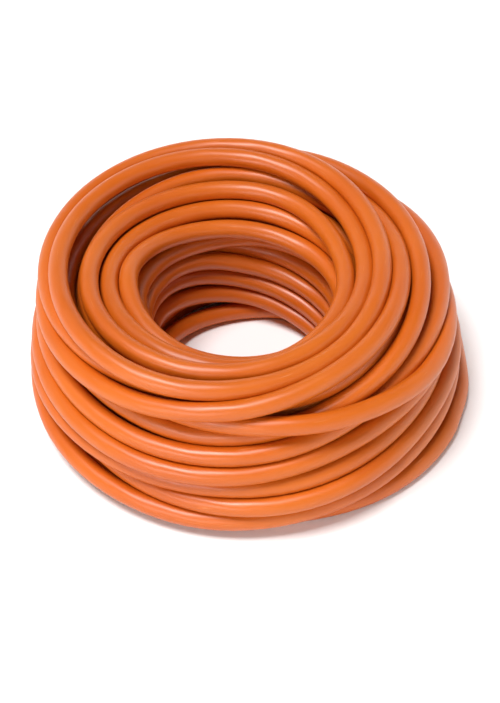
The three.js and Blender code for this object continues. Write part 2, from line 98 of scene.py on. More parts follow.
# The photo looks down on the coil at 43.3 degrees from 90 cable diameters away.
LOOK_DOWN = math.radians(43.3)
LOOK_AT = AXIS + Vector((-0.02, -1.36, 3.0)) * CABLE_D
FROM = 90 * CABLE_D
PHOTO_H, FOCAL_PX = 703, 1695.6


def make_camera():
    data = bpy.data.cameras.new("camera")
    data.sensor_width = 36
    data.lens = FOCAL_PX * data.sensor_width / PHOTO_H
    camera = add_object("camera", data)
    ahead = Vector((0, math.cos(LOOK_DOWN), -math.sin(LOOK_DOWN)))
    camera.location = LOOK_AT - ahead * FROM
    camera.rotation_euler = (math.pi / 2 - LOOK_DOWN, 0, 0)
    bpy.context.scene.camera = camera


make_camera()

# ---------------------------------------------------------------- the winding

# The winding, turn by turn, each going round from the front of the coil by the right. A place is
# (bearing in degrees, radius, height), the last two in cable diameters, and the strand's middle is
# pulled towards it. Settling stops a strand where it meets its neighbours: about one place in seven
# lies over 0.3 of a diameter from where the strand comes to rest, and the furthest 1.8 diameters.
TURNS = [
    # On the floor, from the outside in. The first comes in from the connector; the last is the one
    # seen through the bore.
    [(262, 11.33, 0.73), (275, 10.9, 0.53), (290, 10.22, 0.5), (305, 9.75, 0.5), (320, 9.6, 0.5),
     (340, 9.52, 0.5)],
    [(0, 9.56, 0.5), (45, 9.85, 0.5), (90, 9.93, 0.5), (135, 9.81, 0.5), (180, 9.61, 0.5),
     (225, 9.43, 0.5), (270, 9.18, 0.5), (315, 8.65, 0.5)],
    [(0, 8.56, 0.5), (45, 8.84, 0.5), (90, 8.92, 0.5), (135, 8.81, 0.5), (180, 8.57, 0.5),
     (225, 8.31, 0.5), (270, 8.05, 0.5), (315, 7.65, 0.5)],
    [(0, 7.57, 0.5), (45, 7.8, 0.5), (90, 7.85, 0.5), (135, 7.75, 0.5), (180, 7.56, 0.5),
     (225, 7.3, 0.5), (270, 7.02, 0.5), (315, 6.65, 0.5)],
    [(0, 6.57, 0.5), (45, 6.8, 0.5), (90, 6.85, 0.5), (135, 6.74, 0.5), (180, 6.56, 0.5),
     (225, 6.3, 0.5), (270, 5.94, 0.5), (315, 5.43, 0.5)],
    [(0, 5.57, 0.5), (30, 5.75, 0.5), (60, 5.77, 0.5), (90, 5.66, 0.5), (120, 5.49, 0.5),
     (150, 5.15, 0.5), (180, 4.37, 0.5), (210, 4.56, 0.5), (240, 5.03, 0.67), (280, 4.98, 1.3),
     (320, 5.58, 2.2)],
    # Up behind the inner wall
    [(0, 6.01, 2.52), (45, 6.09, 2.7), (90, 6.02, 2.82), (135, 6.07, 2.9), (180, 6.15, 2.83),
     (225, 6.36, 2.9), (270, 6.53, 3.05), (315, 6.39, 3.13)],
    [(0, 6.29, 3.5), (45, 6.17, 3.77), (90, 6.1, 3.92), (135, 6.17, 3.96), (180, 6.45, 3.79),
     (225, 6.56, 3.9), (270, 6.67, 4.08), (315, 6.64, 4.1)],
    [(0, 6.57, 4.47), (45, 6.44, 4.85), (90, 6.25, 5.1), (135, 6.3, 5.36), (180, 6.39, 5.51),
     (225, 6.48, 5.9), (270, 6.65, 6.12), (315, 7.09, 6.02)],
    [(0, 6.86, 5.65), (45, 6.57, 5.91), (90, 6.3, 6.33), (135, 6.47, 6.43), (180, 6.88, 6.38),
     (225, 7.35, 6.41), (270, 7.61, 6.4), (315, 7.82, 5.33)],
    # Down the middle
    [(0, 7.78, 5.26), (45, 7.36, 5.29), (90, 7.25, 5.25), (135, 7.26, 5.09), (180, 7.3, 4.96),
     (225, 7.43, 4.75), (270, 7.54, 4.62), (315, 7.61, 4.36)],
    [(0, 7.56, 4.28), (45, 7.31, 4.26), (90, 7.11, 4.17), (135, 7.22, 4.07), (180, 7.44, 3.96),
     (225, 7.55, 3.75), (270, 7.59, 3.62), (315, 7.39, 3.39)],
    [(0, 7.47, 3.26), (45, 7.29, 3.15), (90, 7, 2.99), (135, 7.14, 2.96), (180, 7.27, 2.89),
     (225, 7.37, 2.76), (270, 7.53, 2.62), (315, 7.79, 2.47)],
    # Up the middle
    [(0, 7.95, 2.38), (45, 7.91, 2.28), (90, 8.11, 2.38), (135, 8.16, 2.41), (180, 8.18, 2.43),
     (225, 8.3, 2.38), (270, 8.5, 2.35), (315, 8.78, 2.65)],
    [(0, 8.78, 2.95), (45, 8.38, 3.17), (90, 7.93, 3.37), (135, 8.04, 3.41), (180, 8.29, 3.43),
     (225, 8.48, 3.37), (270, 8.56, 3.35), (315, 8.45, 3.6)],
    [(0, 8.49, 3.91), (45, 8.31, 4.17), (90, 8.09, 4.36), (135, 8.17, 4.4), (180, 8.3, 4.46),
     (225, 8.38, 4.39), (270, 8.5, 4.35), (315, 8.61, 4.59)],
    [(0, 8.71, 4.89), (45, 8.36, 5.17), (90, 8.26, 5.35), (135, 8.22, 5.4), (180, 8.17, 5.46),
     (225, 8.07, 5.51), (270, 8.06, 5.5), (315, 8.19, 6.26)],
    # Second layer: seen at the left in the gap between two turns of the top
    [(0, 7.65, 6.27), (45, 6.93, 6.86), (90, 7.07, 6.98), (135, 7.31, 6.97), (153, 7.3, 6.76),
     (166, 8.18, 7.54), (180, 8.59, 7.96), (209, 8.53, 7.53), (236, 8.3, 7), (263, 8.3, 6.95),
     (276, 8.5, 7.01), (300, 8.63, 7.13), (330, 8.53, 7.14)],
    # Inside the outer wall, from the top down
    [(0, 8.33, 7.01), (45, 7.84, 6.45), (90, 7.7, 6.19), (135, 8.15, 6.41), (180, 8.64, 6.35),
     (225, 8.86, 6.14), (270, 9.02, 5.78), (315, 8.9, 5.55)],
    [(0, 8.81, 5.89), (45, 8.77, 6.09), (90, 8.86, 6.16), (135, 9.11, 5.85), (180, 9.18, 5.45),
     (225, 9.07, 5.15), (270, 9.37, 4.84), (315, 9.61, 4.61)],
    [(0, 9.64, 4.51), (45, 9.21, 4.63), (90, 9.05, 4.72), (135, 9.17, 4.5), (180, 9.3, 4.38),
     (225, 9.49, 4.23), (270, 9.84, 3.96), (315, 9.85, 3.64)],
    [(0, 9.62, 3.5), (45, 9.27, 3.63), (90, 8.87, 3.73), (135, 9.04, 3.5), (180, 9.3, 3.38),
     (225, 9.48, 3.23), (270, 9.51, 3.01), (315, 9.78, 2.64)],
    [(0, 9.68, 2.5), (45, 9.33, 2.59), (90, 9.14, 2.55), (135, 9.16, 2.45), (180, 9.18, 2.38),
     (225, 9.29, 2.24), (270, 9.44, 2.01), (315, 9.58, 1.66)],
    # Second layer from the floor, from the outside in
    [(0, 9.49, 1.5), (45, 9.38, 1.44), (90, 9.31, 1.44), (135, 9.18, 1.44), (180, 9.03, 1.39),
     (225, 8.87, 1.33), (270, 8.67, 1.36), (315, 8.59, 1.5)],
    [(0, 8.49, 1.5), (45, 8.38, 1.39), (90, 8.31, 1.4), (135, 8.17, 1.41), (180, 8.01, 1.41),
     (225, 7.87, 1.41), (270, 7.67, 1.43), (315, 7.58, 1.5)],
    [(0, 7.47, 1.5), (45, 7.36, 1.43), (90, 7.24, 1.43), (135, 7.13, 1.44), (180, 7.01, 1.45),
     (225, 6.88, 1.59), (270, 6.8, 1.93), (315, 6.73, 2.03)],
    [(0, 6.47, 1.6), (45, 6.36, 1.44), (90, 6.24, 1.41), (135, 6.12, 1.4), (180, 6.01, 1.4),
     (225, 5.89, 1.42), (270, 5.89, 1.5), (315, 5.93, 1.4)],
    # Inner wall, from the floor up to the rim
    [(0, 5.22, 1.43), (45, 4.84, 0.83), (90, 4.67, 0.65), (122, 4.5, 0.75), (153, 4.47, 1.28),
     (166, 4.58, 1.52), (180, 4.77, 1.64), (194, 4.83, 1.67), (221, 5.14, 2.09), (246, 5.88, 2.82),
     (262, 5.92, 2.74), (300, 5, 2.71), (330, 4.75, 2.54)],
    [(0, 4.76, 2.32), (45, 4.94, 1.83), (90, 4.96, 1.61), (134, 4.43, 1.54), (153, 4.41, 1.83),
     (166, 4.5, 2.06), (180, 4.72, 2.37), (194, 4.99, 2.77), (207, 5.25, 3.15), (221, 5.58, 3.55),
     (248, 6.4, 4.09), (270, 5.79, 3.61), (300, 5.54, 3.56), (330, 5.37, 3.41)],
    [(0, 5.26, 3.19), (45, 5.09, 2.84), (90, 4.97, 2.66), (128, 4.87, 2.8), (140, 4.58, 2.7),
     (153, 4.86, 3.1), (166, 5.1, 3.51), (180, 5.26, 3.93), (194, 5.25, 4.16), (219, 6.12, 5.22),
     (231, 5.57, 4.52), (270, 5.8, 4.6), (320, 5.69, 4.44)],
    [(0, 5.46, 4.18), (45, 5.15, 3.89), (90, 4.96, 3.82), (120, 4.97, 3.9), (142, 5.05, 3.96),
     (153, 5.2, 4.06), (166, 5.32, 4.12), (180, 5.25, 3.91), (194, 5.27, 3.73), (216, 6.29, 4.8),
     (243, 6.55, 5.02), (270, 6.66, 5.11), (320, 6.44, 5.1)],
    [(0, 5.82, 5.12), (30, 5.52, 4.92), (60, 5.36, 4.81), (90, 5.31, 4.76), (120, 5.35, 4.83),
     (150, 5.42, 5.07), (167, 5.51, 5.34), (180, 5.38, 5.31), (194, 5.25, 5.23), (208, 5.24, 5.2),
     (222, 5.36, 5.31), (236, 5.64, 5.57), (249, 6.34, 5.98), (260, 6.86, 6.08), (275, 7.71, 5.7),
     (290, 5.57, 5.55), (310, 5.95, 5.9)],
    [(0, 6.01, 6.12), (30, 5.33, 5.91), (60, 4.97, 5.74), (100, 4.76, 5.6), (135, 4.74, 5.7),
     (153, 4.72, 5.81), (166, 4.83, 6.03), (180, 4.85, 6.13), (194, 4.89, 6.09), (208, 5.19, 6.22),
     (222, 5.5, 6.39), (236, 5.74, 6.58), (249, 6.03, 6.82), (262, 6.53, 7.09), (275, 7.25, 7.18),
     (290, 6.46, 7.14), (320, 6.79, 6.91)],
    # Comes up at the left and sweeps over the rim of the inner wall
    [(0, 6.77, 6.75), (45, 5.79, 6.56), (90, 5.31, 6.48), (120, 5.35, 6.41), (145, 5.55, 6.41),
     (166, 5.77, 6.62), (180, 6.01, 6.82), (194, 6.11, 6.82), (208, 6.27, 6.87), (222, 6.43, 6.91),
     (237, 6.62, 6.97), (251, 6.97, 7.21), (264, 7.3, 7.35), (280, 7.37, 7.37), (294, 7.38, 7.45),
     (309, 7.43, 7.54), (326, 7.55, 7.63), (344, 7.69, 7.44)],
    # Top, from the rim of the bore outwards
    [(0, 7.79, 7.19), (14, 7.21, 7.29), (26, 6.69, 7.41), (50, 5.41, 7.6), (66, 4.96, 7.52),
     (83, 4.83, 7.46), (99, 4.61, 7.33), (111, 4.65, 7.27), (122, 4.92, 7.27), (135, 5.18, 7.22),
     (150, 5.68, 7.21), (166, 6.63, 7.67), (180, 6.86, 7.56), (208, 7.15, 7.41), (223, 7.39, 7.53),
     (237, 7.59, 7.66), (252, 7.92, 7.86), (265, 8.18, 7.96), (280, 8.46, 8.01), (295, 8.63, 8.09),
     (311, 8.94, 8.04), (328, 9.12, 7.81), (344, 8.87, 7.76)],
    [(0, 8.34, 8.02), (16, 7.63, 8.21), (32, 6.97, 8.24), (49, 6.54, 7.98), (65, 6.03, 7.88),
     (81, 5.7, 7.78), (96, 5.73, 7.68), (111, 5.84, 7.61), (125, 6.22, 7.63), (138, 6.78, 7.79),
     (152, 7.31, 7.94), (166, 7.87, 8.13), (180, 8.48, 8.35), (194, 8.98, 8.49), (208, 9.31, 8.5),
     (223, 9.56, 8.4), (237, 9.71, 8.34), (251, 9.82, 8.28), (266, 9.82, 8.23), (282, 9.86, 8.29),
     (297, 10, 8.32), (313, 10.27, 8.19), (329, 10.44, 7.86), (345, 10.31, 7.53)],
    [(0, 9.54, 7.62), (16, 8.65, 7.91), (32, 7.89, 8.15), (49, 7.28, 8.25), (64, 6.95, 8.28),
     (80, 6.75, 8.29), (95, 6.57, 8.23), (110, 6.63, 8.13), (124, 6.98, 8.09), (138, 7.57, 8.15),
     (152, 8.38, 8.44), (166, 9.16, 8.57), (183, 9.7, 8.44), (196, 9.99, 8.33), (211, 10.33, 8.25),
     (229, 10.69, 8.13), (242, 10.72, 7.89), (252, 10.65, 7.7), (267, 10.64, 7.53), (278, 10.73, 7.43),
     (297, 10.33, 7.22), (312, 9.83, 7.33), (323, 9.64, 7.34), (345, 9.39, 7.16)],
    # Outer edge of the top, where turns cross and one drops out of sight under its neighbour
    [(0, 9.34, 6.99), (7, 9.29, 7), (16, 9.21, 7.05), (32, 8.96, 7.15), (48, 8.42, 7.17),
     (67, 7.94, 7.17), (79, 7.33, 7.09), (92, 8.23, 7.05), (110, 8.57, 6.97), (135, 9.04, 6.87),
     (180, 9.65, 6.37), (225, 9.85, 5.78), (270, 10.02, 5.61), (300, 10.01, 5.6), (314, 8.8, 6.18),
     (322, 9.43, 5.87), (328, 9.99, 5.54), (335, 10.21, 5.34), (344, 10.47, 5.05)],
    [(0, 10.22, 5.23), (8, 10.01, 5.51), (24, 9.65, 6.27), (31, 9.61, 6.57), (38, 9.54, 6.88),
     (46, 9.43, 7.22), (53, 9.22, 7.48), (62, 8.93, 7.69), (77, 8.49, 7.82), (92, 8.03, 7.73),
     (107, 7.92, 7.5), (121, 8.28, 7.56), (136, 8.8, 8.07), (151, 9.32, 8.17), (180, 10.14, 7.31),
     (225, 10.65, 6.69), (262, 10.64, 6.45), (270, 10.58, 6.44), (285, 10.63, 6.44), (299, 10.5, 6.51),
     (314, 10.57, 6.61), (326, 10.64, 6.7), (337, 10.71, 6.83), (345, 10.68, 7)],
    [(0, 10.17, 7.56), (16, 9.4, 8.15), (32, 8.9, 8.27), (48, 8.02, 8.48), (64, 7.22, 8.43),
     (79, 7.11, 8.12), (95, 7.58, 7.89), (110, 8.55, 8.04), (126, 8.09, 7.56), (150, 8.46, 7.38),
     (180, 9.13, 7.23), (225, 9.65, 6.76), (270, 9.6, 6.61), (300, 9.46, 6.48), (325, 9.55, 6.35)],
    # Outer wall, down to the floor, fanning out at the right front
    [(0, 10.27, 6.47), (10, 10.32, 6.64), (20, 10.46, 6.62), (30, 10.57, 6.4), (46, 10.46, 6.23),
     (61, 9.95, 5.98), (76, 10.09, 5.53), (90, 10.17, 5.36), (135, 10.21, 5.07), (180, 10.51, 5.24),
     (225, 10.76, 5.27), (270, 10.73, 4.92), (285, 10.79, 4.8), (293, 10.4, 4.87), (299, 10.42, 4.88),
     (306, 10.61, 4.79), (314, 10.91, 4.6), (330, 11.26, 4.25), (345, 11.2, 4.23)],
    [(0, 10.94, 4.49), (8, 10.7, 4.74), (16, 10.44, 5.03), (26, 9.99, 5.44), (39, 9.49, 5.88),
     (47, 9.48, 6.03), (63, 9.58, 6.31), (79, 9.51, 6.35), (92, 9.86, 6.3), (120, 10.45, 6.11),
     (150, 11.2, 5.43), (180, 11.4, 4.74), (225, 11.25, 4.17), (260, 10.97, 3.92), (285, 11, 3.82),
     (300, 11.11, 3.83), (315, 11.32, 3.71), (330, 11.51, 3.54), (345, 11.56, 3.46)],
    [(0, 11.2, 3.69), (8, 10.85, 3.94), (16, 10.54, 4.2), (25, 10.23, 4.45), (36, 9.69, 4.83),
     (47, 10.2, 4.6), (70, 10.08, 4.59), (120, 10.04, 4.15), (150, 10.27, 3.94), (180, 10.54, 3.64),
     (225, 10.87, 3.2), (270, 11.17, 2.9), (285, 11.28, 2.86), (299, 10.53, 3.1), (314, 11.25, 2.76),
     (324, 11.32, 2.62), (337, 11.19, 2.62), (345, 11.17, 2.63)],
    [(0, 11.3, 2.57), (15, 11.44, 2.58), (26, 11.27, 2.85), (37, 10.74, 3.31), (43, 10.31, 3.57),
     (51, 9.81, 3.77), (59, 10.09, 3.66), (80, 9.89, 3.49), (120, 9.88, 3.16), (150, 10.03, 2.96),
     (180, 10.16, 2.63), (225, 10.3, 2.16), (270, 10.41, 2.25), (300, 10.44, 2.29), (325, 11.08, 1.6),
     (340, 10.98, 1.75), (350, 11.24, 1.77)],
    [(0, 11.67, 1.71), (15, 12.01, 1.78), (30, 11.52, 2.32), (40, 10.73, 2.81), (61, 9.28, 3.42),
     (80, 10.85, 3.2), (120, 10.87, 2.96), (150, 11, 2.67), (180, 11.15, 2.48), (225, 11.29, 2.27),
     (262, 11.34, 1.73), (275, 11.33, 1.44), (287, 10.55, 1.3), (299, 10.94, 1.19), (314, 11.33, 1.07),
     (330, 11.4, 0.99), (345, 11.15, 1.13)],
    [(0, 11.13, 1.25), (7, 11.23, 1.26), (15, 11.3, 1.32), (25, 11.38, 1.37), (33, 11.37, 1.43),
     (42, 11.21, 1.6), (48, 10.89, 1.81), (54, 10.39, 2.02), (61, 10.07, 2.16), (69, 10.73, 2.11),
     (80, 10.76, 2.2), (120, 10.87, 1.94), (150, 10.93, 1.52), (180, 10.94, 1.1), (225, 10.78, 0.77),
     (255, 10.46, 0.95), (285, 10.36, 1.47), (320, 10.51, 0.91), (350, 10.52, 0.53)],
    [(0, 10.56, 0.5), (15, 10.73, 0.5), (25, 11.39, 0.5), (40, 11.41, 0.5), (60, 11.33, 0.51),
     (80, 11.4, 0.5), (98, 11.4, 0.5)],
]

STATIONS = 96  # cross-sections round the coil, where the turns are kept from overlapping
TIGHTNESS = 160  # rounds of settling
CORNER_PASSES = 8  # of smoothing, before the settling, over the corners between places
PULL = 0.12  # share of the way to its place that a strand goes in the first round
PUSH = 0.4  # share of an overlap that each of two strands gives way by
TOUCHING = 1.005  # cable diameters between the middles of strands that touch
LONGEST_PUSH = 0.25  # cable diameters, in one go
LOWEST = 0.5  # height of the middle of a strand on the floor, in cable diameters


def aim():
    """The turns strung into one line: bearing and wanted (radius, height) at each station."""
    places = np.array([
        (360 * (number - 1) + degrees, radius, height)
        for number, turn in enumerate(TURNS) for degrees, radius, height in turn
    ])
    bearing = np.arange(places[0, 0], places[-1, 0] + 1e-6, 360 / STATIONS)
    wanted = np.stack([np.interp(bearing, places[:, 0], places[:, i]) for i in (1, 2)], 1)
    for _ in range(CORNER_PASSES):
        wanted[1:-1] = (wanted[:-2] + 2 * wanted[1:-1] + wanted[2:]) / 4
    return bearing, wanted


def apart(line):
    """How far each point moves so that the turns at its station lie a diameter apart."""
    count = -(-len(line) // STATIONS)
    turns = np.full((count * STATIONS, 2), np.nan)
    turns[: len(line)] = line
    turns = turns.reshape(count, STATIONS, 2)
    between = turns[:, None] - turns[None]
    distance = np.sqrt((between**2).sum(-1))
    distance[np.arange(count), np.arange(count)] = np.inf
    short = np.nan_to_num(np.where(distance < TOUCHING, TOUCHING - distance, 0))
    way = np.nan_to_num(between / np.maximum(distance, 1e-6)[..., None])
    move = (way * short[..., None]).sum(1).reshape(-1, 2)[: len(line)] * PUSH
    reach = np.sqrt((move**2).sum(1, keepdims=True))
    return move * np.minimum(1, LONGEST_PUSH / np.maximum(reach, 1e-9))


def settle():
    """Pulls every turn to its place, keeps the cable smooth and its turns from overlapping."""
    bearing, wanted = aim()
    line = wanted.copy()
    for step in range(TIGHTNESS):
        line += (wanted - line) * PULL * (1 - step / TIGHTNESS)
        for _ in range(2):
            line[1:-1] += ((line[:-2] + line[2:]) / 2 - line[1:-1]) / 2
        for _ in range(2):
            line += apart(line)
            line[:, 1] = np.maximum(line[:, 1], LOWEST)
    angle = np.radians(bearing - 90)
    across = line[:, 0] * CABLE_D
    return np.stack(
        [AXIS.x + across * np.cos(angle), AXIS.y + across * np.sin(angle), line[:, 1] * CABLE_D], 1
    )


# ---------------------------------------------------------------- the whole cable

JOIN = 8  # stations at each end of the winding that are redrawn, to run smoothly into the tails
MEAN_R = 8  # of the winding, in cable diameters
CABLE_SIDES = 20


def beyond_foot(degrees, beyond, height):
    """Point at a bearing (degrees from +x), so far outside the coil's foot and so high."""
    angle = math.radians(degrees)
    radius = FOOT_R + beyond
    return AXIS + Vector((radius * math.cos(angle), radius * math.sin(angle), height))


def tail(route, face, heading, length):
    """From the coil to the sheath's end inside a moulded end."""
    angle = math.radians(heading)
    ahead = Vector((math.cos(angle), math.sin(angle), 0))
    stops = [beyond_foot(*stop) for stop in route]
    middle = beyond_foot(*face, END_LIFT)
    relief_end = length + RELIEF_LENGTH
    for behind in (relief_end + STRAIGHT_RUN, relief_end, length + STRAIGHT_RUN, length - CABLE_GRIP):
        stops.append(middle - ahead * behind)
    return np.array(stops)


def smooth_line(points, step):
    """Points a step apart on a smooth curve through the given ones."""
    points = np.asarray(points, float)
    gaps = np.sqrt((np.diff(points, axis=0) ** 2).sum(1))
    at = np.concatenate([[0], np.cumsum(np.sqrt(gaps))])
    slope = np.gradient(points, at, axis=0)
    count = max(2, int(gaps.sum() / step))
    where = np.linspace(0, at[-1], count * 4)
    k = np.clip(np.searchsorted(at, where, side="right") - 1, 0, len(at) - 2)
    span = (at[k + 1] - at[k])[:, None]
    s = ((where - at[k]) / span[:, 0])[:, None]
    fine = (
        (2 * s**3 - 3 * s**2 + 1) * points[k]
        + (s**3 - 2 * s**2 + s) * span * slope[k]
        + (3 * s**2 - 2 * s**3) * points[k + 1]
        + (s**3 - s**2) * span * slope[k + 1]
    )
    run = np.concatenate([[0], np.cumsum(np.sqrt((np.diff(fine, axis=0) ** 2).sum(1)))])
    even = np.linspace(0, run[-1], count)
    return np.stack([np.interp(even, run, fine[:, i]) for i in range(3)], 1)


def cable_line():
    """The cable's middle from the plug's moulding, through every turn, to the connector's."""
    winding = settle()[::-1]
    step = 2 * math.pi * MEAN_R * CABLE_D / STATIONS
    to_plug = tail(PLUG_ROUTE, PLUG_FACE, PLUG_HEADING, PLUG_LENGTH)[::-1]
    to_connector = tail(CONNECTOR_ROUTE, CONNECTOR_FACE, CONNECTOR_HEADING, CONNECTOR_LENGTH)
    plug_side = smooth_line(np.concatenate([to_plug, winding[: JOIN + 1 : 4]]), step)
    connector_side = smooth_line(np.concatenate([winding[-JOIN - 1 :: 4], to_connector]), step)
    return np.concatenate([plug_side[:-1], winding[JOIN:-JOIN], connector_side[1:]])


def tube(name, line, diameter, sides):
    """Round tube along a line; its UVs run in metres: along the tube, and round it."""
    line = np.asarray(line)
    way = np.gradient(line, axis=0)
    way /= np.linalg.norm(way, axis=1)[:, None]
    side = np.cross(way, [0, 0, 1.0])
    side /= np.linalg.norm(side, axis=1)[:, None]
    up = np.cross(side, way)
    turn = 2 * math.pi * np.arange(sides) / sides
    ring = np.cos(turn)[None, :, None] * side[:, None] + np.sin(turn)[None, :, None] * up[:, None]
    verts = (line[:, None] + ring * diameter / 2).reshape(-1, 3)
    first = np.arange(len(line) - 1)[:, None] * sides
    k = np.arange(sides)[None]
    nxt = (k + 1) % sides
    quads = np.stack([first + k, first + nxt, first + sides + nxt, first + sides + k], -1).reshape(-1, 4)
    mesh = bpy.data.meshes.new(name)
    caps = [list(range(sides))[::-1], list(range(len(verts) - sides, len(verts)))]
    mesh.from_pydata(verts.tolist(), [], quads[:, ::-1].tolist() + [c[::-1] for c in caps])
    mesh.polygons.foreach_set("use_smooth", [True] * len(quads) + [False, False])
    run = np.concatenate([[0], np.cumsum(np.linalg.norm(np.diff(line, axis=0), axis=1))])
    around = math.pi * diameter
    uv = mesh.uv_layers.new(name="length_and_girth")
    u0, u1 = run[:-1][:, None] + 0 * k, run[1:][:, None] + 0 * k
    v0, v1 = (k / sides * around) + 0 * first, ((k + 1) / sides * around) + 0 * first
    corners = np.stack([[u0, v0], [u0, v1], [u1, v1], [u1, v0]], 0).transpose(2, 3, 0, 1)[:, :, ::-1]
    flat = np.concatenate([corners.reshape(-1), np.zeros(4 * sides)])
    uv.data.foreach_set("uv", flat)
    mesh.validate()
    return add_object(name, mesh)


# ---------------------------------------------------------------- materials


def srgb(text):
    """Linear colour from an sRGB hex value."""
    channels = [int(text[i : i + 2], 16) / 255 for i in (1, 3, 5)]
    linear = [c / 12.92 if c <= 0.04045 else ((c + 0.055) / 1.055) ** 2.4 for c in channels]
    return (*linear, 1)


def node(tree, kind, links=None, **settings):
    """Adds a node; settings are its properties or input values, links its inputs' sources."""
    made = tree.nodes.new(kind)
    for key, value in settings.items():
        if hasattr(made, key):
            setattr(made, key, value)
        else:
            made.inputs[key.replace("_", " ")].default_value = value
    for key, source in (links or {}).items():
        tree.links.new(source, made.inputs[key])
    return made


def surface(name, colour, roughness, **settings):
    """A Principled surface to add detail to: the material, its node tree and its shader."""
    material = bpy.data.materials.new(name)
    material.use_nodes = True
    tree = material.node_tree
    shader = tree.nodes["Principled BSDF"]
    shader.inputs["Base Color"].default_value = srgb(colour)
    shader.inputs["Roughness"].default_value = roughness
    for key, value in settings.items():
        shader.inputs[key.replace("_", " ")].default_value = value
    return material, tree, shader


def drawn(tree, socket, size, stretch):
    """Noise of a pattern size in mm round the cable, stretched so many times along it."""
    scale = (1000 / (size * stretch), 1000 / size, 1)
    at = node(tree, "ShaderNodeMapping", {"Vector": socket}, Scale=scale).outputs["Vector"]
    return node(tree, "ShaderNodeTexNoise", {"Vector": at}, Scale=1, Detail=3).outputs["Fac"]


def grained(tree, socket, size):
    """Noise of a pattern size in mm, the same every way."""
    return node(tree, "ShaderNodeTexNoise", {"Vector": socket}, Scale=1000 / size, Detail=3).outputs["Fac"]


def spread(tree, value, low, high, From_Min=0.3, From_Max=0.7):
    """The value between the From limits, taken linearly to between low and high."""
    limits = {"From_Min": From_Min, "From_Max": From_Max, "To_Min": low, "To_Max": high}
    return node(tree, "ShaderNodeMapRange", {"Value": value}, **limits).outputs["Result"]


def blend(tree, share, first, second):
    """Colour between two; each is a hex value or another node's colour."""
    mix = node(tree, "ShaderNodeMix", {"Factor": share}, data_type="RGBA")
    for key, colour in (("A", first), ("B", second)):
        if isinstance(colour, str):
            mix.inputs[key].default_value = srgb(colour)
        else:
            tree.links.new(colour, mix.inputs[key])
    return mix.outputs["Result"]


def relief(tree, height, depth, under=None):
    """Bump of a depth in mm, on top of another."""
    links = {"Height": height} if under is None else {"Height": height, "Normal": under}
    return node(tree, "ShaderNodeBump", links, Strength=1, Distance=depth * MM).outputs["Normal"]


def extruded_pvc():
    """Sheath: flexible PVC, extruded over the twisted cores and cooled in water. Satin, with fine
    draw lines from the die, a slow ridge where the cores lie under it and rubs between turns."""
    material, tree, shader = surface("extruded_orange_pvc", "#ca6011", 0.42, IOR=1.52)
    place = node(tree, "ShaderNodeTexCoord").outputs
    drift = grained(tree, place["Object"], 70)
    tint = blend(tree, spread(tree, drift, 0, 1), "#c55a0d", "#cf6716")
    # rubs: pale dashes 1.4 mm wide and 20 mm long, on a few hundredths of the surface
    rubs = spread(tree, drawn(tree, place["UV"], 1.4, 14), 0, 0.3, From_Min=0.66, From_Max=0.76)
    tree.links.new(blend(tree, rubs, tint, "#e8a06c"), shader.inputs["Base Color"])
    gloss = spread(tree, grained(tree, place["Object"], 22), 0.33, 0.42)
    duller = node(tree, "ShaderNodeMath", {0: gloss, 1: rubs}, operation="ADD", use_clamp=True)
    tree.links.new(duller.outputs["Value"], shader.inputs["Roughness"])
    # the twisted cores raise the sheath by about a twentieth of a millimetre
    along = node(tree, "ShaderNodeSeparateXYZ", {"Vector": place["UV"]}).outputs
    twist = node(tree, "ShaderNodeMath", {0: along["X"]}, operation="MULTIPLY")
    twist.inputs[1].default_value = 2 * math.pi * CORES / CORE_LAY
    twisted = {0: along["Y"], 2: twist.outputs["Value"]}
    round_it = node(tree, "ShaderNodeMath", twisted, operation="MULTIPLY_ADD")
    round_it.inputs[1].default_value = 2 * CORES / CABLE_D
    ridge = node(tree, "ShaderNodeMath", {0: round_it.outputs["Value"]}, operation="COSINE")
    skin = relief(tree, ridge.outputs["Value"], 0.05)
    # draw lines 0.6 mm apart and about 25 mm long, 0.02 mm deep
    skin = relief(tree, drawn(tree, place["UV"], 0.6, 40), 0.02, skin)
    skin = relief(tree, grained(tree, place["Object"], 0.9), 0.008, skin)
    tree.links.new(skin, shader.inputs["Normal"])
    return material


def mottled(name, colours, roughness, patch, grain, depth, **settings):
    """Surface whose tint and gloss vary in patches, with a grain in relief; sizes in mm."""
    material, tree, shader = surface(name, colours[0], roughness[0], **settings)
    place = node(tree, "ShaderNodeTexCoord").outputs["Object"]
    patches = grained(tree, place, patch)
    tree.links.new(blend(tree, spread(tree, patches, 0, 1), *colours), shader.inputs["Base Color"])
    tree.links.new(spread(tree, patches, *roughness), shader.inputs["Roughness"])
    tree.links.new(relief(tree, grained(tree, place, grain), depth), shader.inputs["Normal"])
    return material


PVC = extruded_pvc()
# thermoplastic rubber moulded in a spark-eroded tool: matt, with an even grain
TPR = mottled("moulded_black_rubber", ("#1b1c1e", "#242527"), (0.5, 0.62), 9, 0.35, 0.03)
# glass-filled nylon, moulded: drier and greyer, with faint flow patches
NYLON = mottled("glass_filled_nylon", ("#353638", "#404143"), (0.42, 0.56), 4, 0.25, 0.01)
# stamped brass, tumbled to take the burrs off: bright, with dulled patches
BRASS = mottled("tumbled_brass", ("#cda961", "#b58f49"), (0.22, 0.36), 2.5, 0.3, 0.006, Metallic=1.0)
# the cores' own PVC, extruded: harder and glossier than the sheath
LINE_PVC = mottled("black_core_pvc", ("#151618", "#1c1d1f"), (0.34, 0.44), 6, 0.5, 0.005)
NEUTRAL_PVC = mottled("white_core_pvc", ("#eceae3", "#e2dfd6"), (0.34, 0.44), 6, 0.5, 0.005)
EARTH_PVC = mottled("green_core_pvc", ("#2a7a42", "#24693a"), (0.34, 0.44), 6, 0.5, 0.005)
